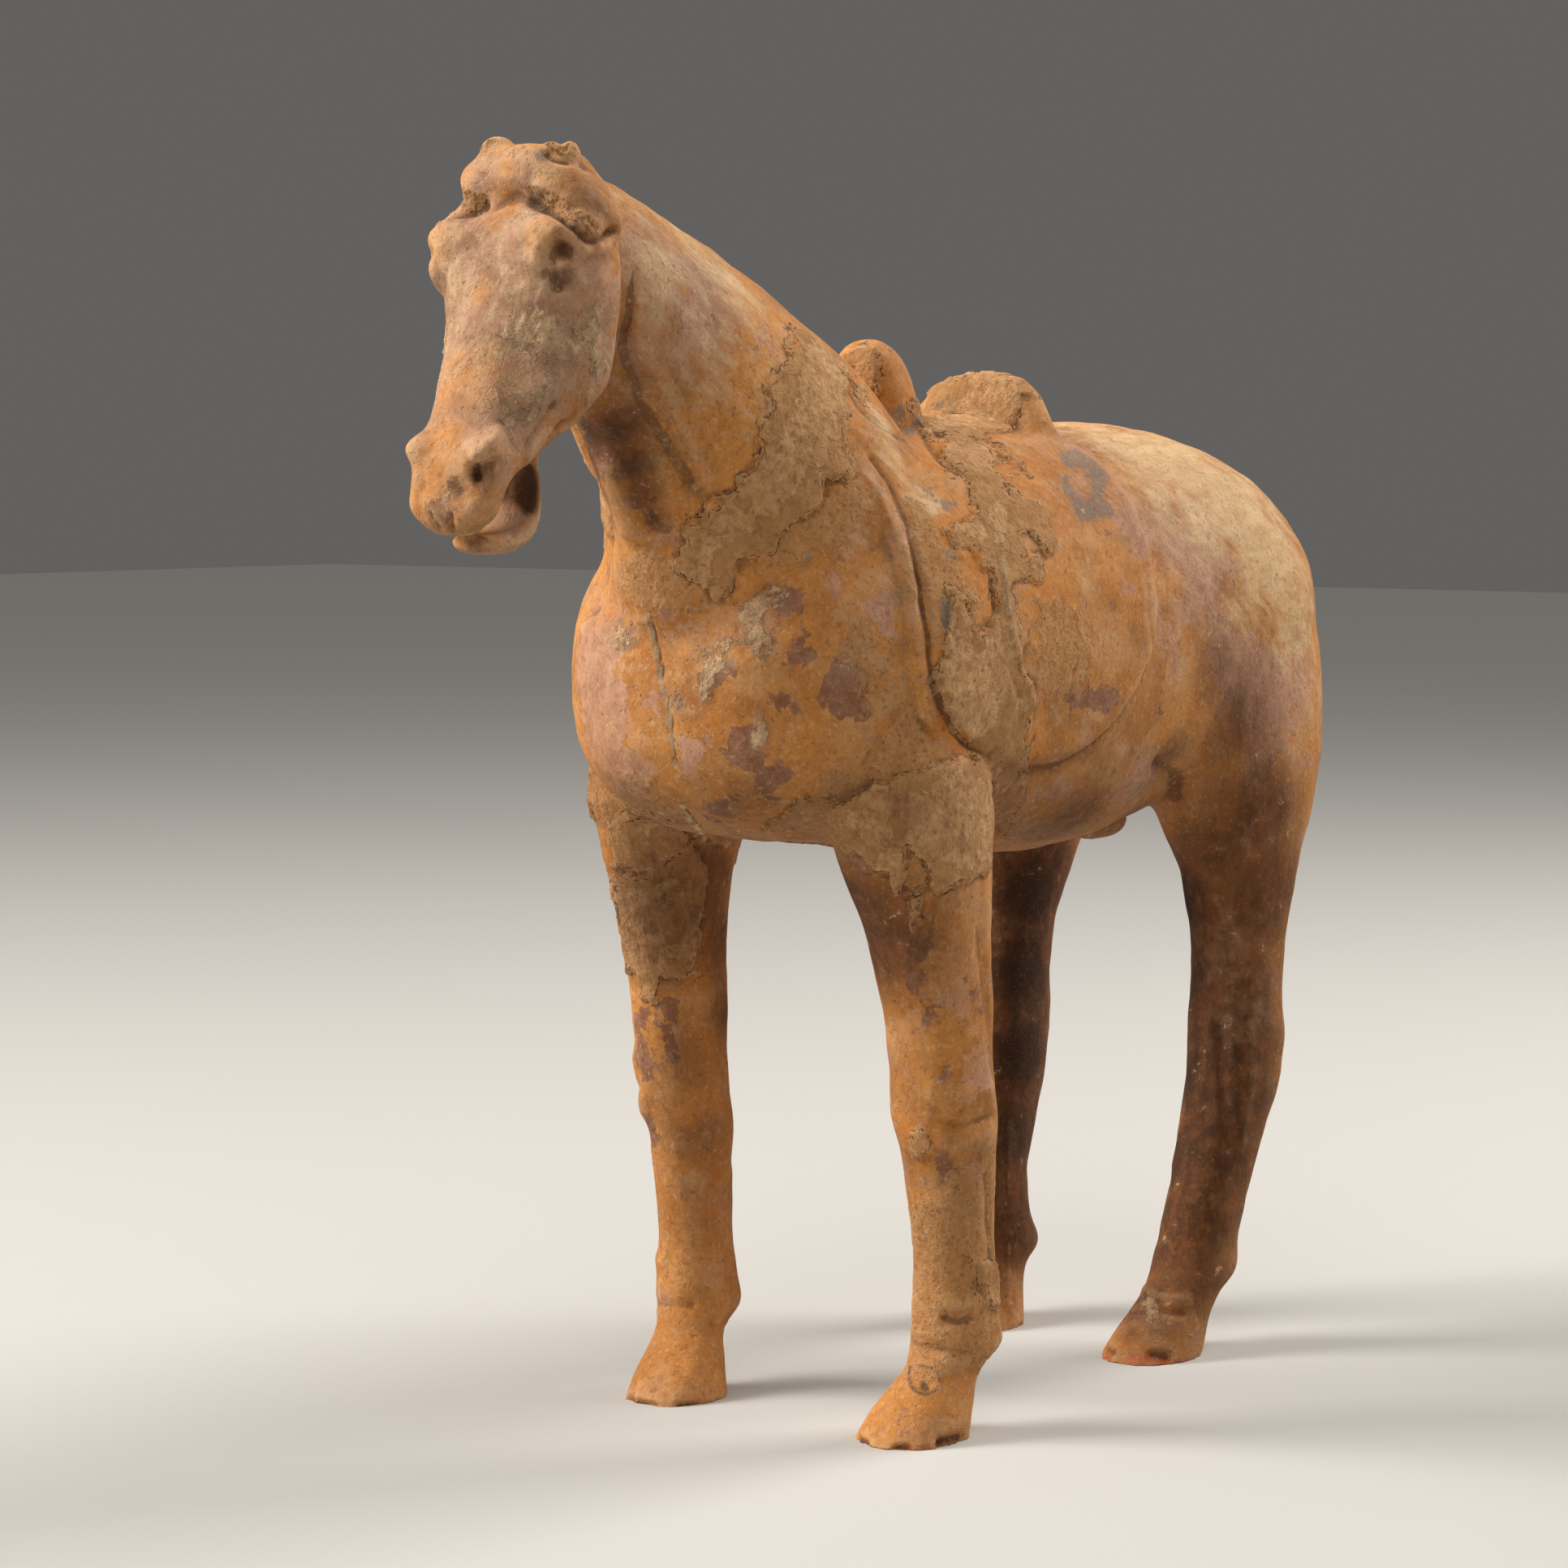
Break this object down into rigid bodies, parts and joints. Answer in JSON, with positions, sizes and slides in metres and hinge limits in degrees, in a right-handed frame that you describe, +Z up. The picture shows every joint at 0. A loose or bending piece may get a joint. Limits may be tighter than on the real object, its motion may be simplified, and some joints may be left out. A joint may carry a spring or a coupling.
{
  "type": "chinese tomb horse",
  "caption": "Standing saddled horse of painted low-fired clay, a tomb figure with a bound forelock, an open mouth and a low saddle with its blanket, resting on its own hooves",
  "frame": {"origin": "On the ground, at the middle of the horse's length and width", "axes": "+Z is up, the horse looks along -Y and its left side is +X"},
  "size_m": [0.1198, 0.3594, 0.34],
  "materials": {
    "clay": "dry painted clay with flaking slip and crusts of burial earth"
  },
  "bodies": {
    "root": {"horse": "clay"}
  },
  "joints": []
}
